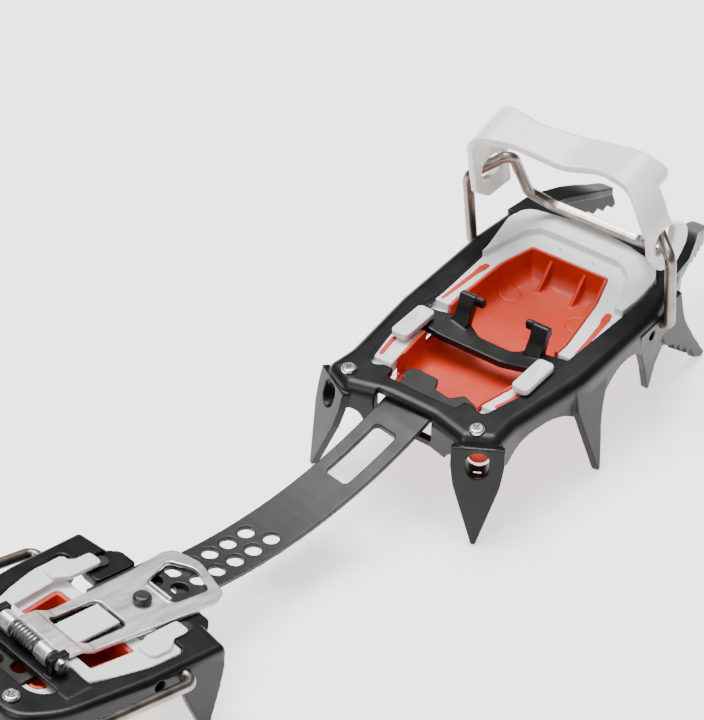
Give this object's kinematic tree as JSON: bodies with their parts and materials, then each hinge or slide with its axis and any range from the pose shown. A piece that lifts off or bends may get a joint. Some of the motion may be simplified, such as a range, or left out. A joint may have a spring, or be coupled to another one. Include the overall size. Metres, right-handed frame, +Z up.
{
  "type": "crampon",
  "caption": "Step-in mountaineering crampon for a right boot: pointed steel front and heel sections joined by a perforated bar, with a wire toe bail and heel lever.",
  "frame": {"origin": "centre of the bounding box in plan, on the ground that the points stand on", "axes": "+X to the toe along the linking bar, +Y left, +Z up"},
  "size_m": [0.451, 0.1064, 0.0983],
  "materials": {
    "black_steel": "satin black coat",
    "bar_steel": "satin dark grey coat",
    "white_plastic": "fine moulded matt",
    "orange_rubber": "satin soft moulding",
    "zinc_steel": "bright zinc",
    "insert_steel": "plain steel",
    "stainless_wire": "drawn, slightly browned",
    "milky_plastic": "soft gloss, translucent",
    "black_plastic": "moulded",
    "dark_rivet": "dull",
    "stainless_plate": "fine satin",
    "spring_steel": "drawn",
    "lever_aluminium": "dark anodised",
    "orange_grip": "soft matt"
  },
  "bodies": {
    "front_section": {"front_frame": "black_steel", "linking_bar": "bar_steel", "front_antiball_frame": "white_plastic", "front_antiball_membrane": "orange_rubber", "front_screws": "zinc_steel", "front_screw_inserts": "insert_steel"},
    "toe_bail_body": {"toe_bail": "stainless_wire"},
    "toe_cradle_body": {"toe_cradle": "milky_plastic"},
    "heel_section": {"heel_frame": "black_steel", "bar_guide": "black_plastic", "guide_rivets": "dark_rivet", "lock_axle": "zinc_steel", "lock_spring": "spring_steel", "heel_antiball_frame": "white_plastic", "heel_antiball_membrane": "orange_rubber", "heel_screws": "zinc_steel", "heel_screw_pads": "white_plastic"},
    "lock": {"lock_plate": "stainless_plate", "lock_pin": "dark_rivet", "lock_peg": "dark_rivet"},
    "heel_bail_body": {"heel_bail": "stainless_wire"},
    "lever_body": {"heel_lever": "lever_aluminium", "lever_pad": "orange_grip"},
    "lever_hook_body": {"lever_hook": "black_plastic"},
    "height_screw_body": {"height_screw": "zinc_steel"}
  },
  "joints": [
    {"name": "toe_bail_swing", "type": "hinge", "parent": "front_section", "child": "toe_bail_body", "pos_m": [0.15194, 0.00352, 0.03419], "axis": [-0.1564, 0.9877, 0], "range_deg": [-45, 3]},
    {"name": "toe_cradle_tilt", "type": "hinge", "parent": "toe_bail_body", "child": "toe_cradle_body", "pos_m": [0.15223, 0.00407, 0.07193], "axis": [-0.1464, 0.9892, 0.0079], "range_deg": [-8, 6]},
    {"name": "size_slide", "type": "slide", "parent": "front_section", "child": "heel_section", "axis": [-0.9871, 0, 0.1599], "range_m": [0, 0.0498]},
    {"name": "lock_lift", "type": "hinge", "parent": "heel_section", "child": "lock", "pos_m": [-0.1184, -0.0084, 0.04218], "axis": [0, -1, 0], "range_deg": [0, 10], "stiffness_Nm_per_rad": 0.15, "springref_deg": -20.05},
    {"name": "heel_bail_swing", "type": "hinge", "parent": "heel_section", "child": "heel_bail_body", "pos_m": [-0.0856, -0.0084, 0.02896], "axis": [0, 1, 0], "range_deg": [0, 75]},
    {"name": "heel_lever_turn", "type": "hinge", "parent": "heel_bail_body", "child": "lever_body", "pos_m": [-0.16426, -0.0084, 0.04991], "axis": [0, 1, 0], "range_deg": [0, 110]},
    {"name": "height_screw_turn", "type": "hinge", "parent": "lever_body", "child": "height_screw_body", "pos_m": [-0.16384, -0.0084, 0.05449], "axis": [-0.9959, 0, 0.0906], "range_deg": [-720, 2880]},
    {"name": "height_slide", "type": "slide", "parent": "lever_body", "child": "lever_hook_body", "axis": [-0.9959, 0, 0.0906], "range_m": [-0.001, 0.004]}
  ],
  "couplings": [
    {"joint": "height_screw_turn", "follows": "height_slide", "rad_per_m": 12566}
  ]
}
